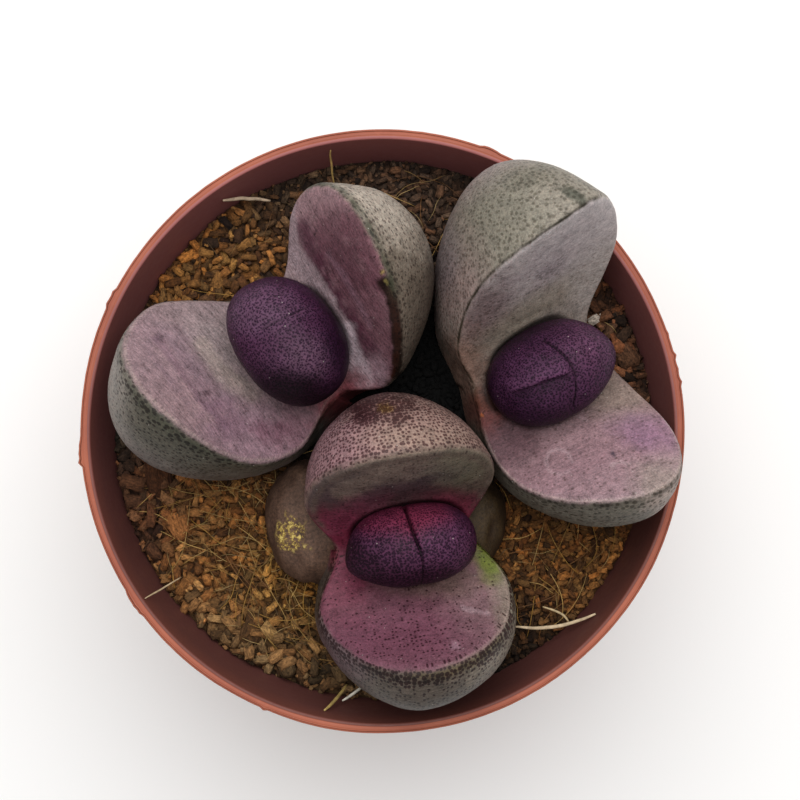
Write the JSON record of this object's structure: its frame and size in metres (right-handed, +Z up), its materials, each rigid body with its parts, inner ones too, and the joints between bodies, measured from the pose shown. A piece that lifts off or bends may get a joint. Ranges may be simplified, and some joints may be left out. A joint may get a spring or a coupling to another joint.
{
  "type": "potted split rock",
  "caption": "Split-rock succulent with thick paired stone-like leaves and young pairs in their clefts, growing in coir mix in a round tapered nursery pot.",
  "frame": {"origin": "middle of the underside of the pot's base, on the surface that the pot stands on", "axes": "+Z up along the pot's axis; +Y towards the gap between the left and the right head; the front head lies towards -Y"},
  "size_m": [0.105, 0.105, 0.1158],
  "materials": {
    "pot": "satin",
    "growing_mix": "matte",
    "outer_leaves": "satin",
    "inner_leaves": "satin",
    "old_leaves": "matte"
  },
  "bodies": {
    "root": {"pot": "pot", "soil": "growing_mix", "front_outer_leaves": "outer_leaves", "front_inner_leaves": "inner_leaves", "front_old_leaves": "old_leaves", "left_outer_leaves": "outer_leaves", "left_inner_leaves": "inner_leaves", "right_outer_leaves": "outer_leaves", "right_inner_leaves": "inner_leaves"}
  },
  "joints": []
}
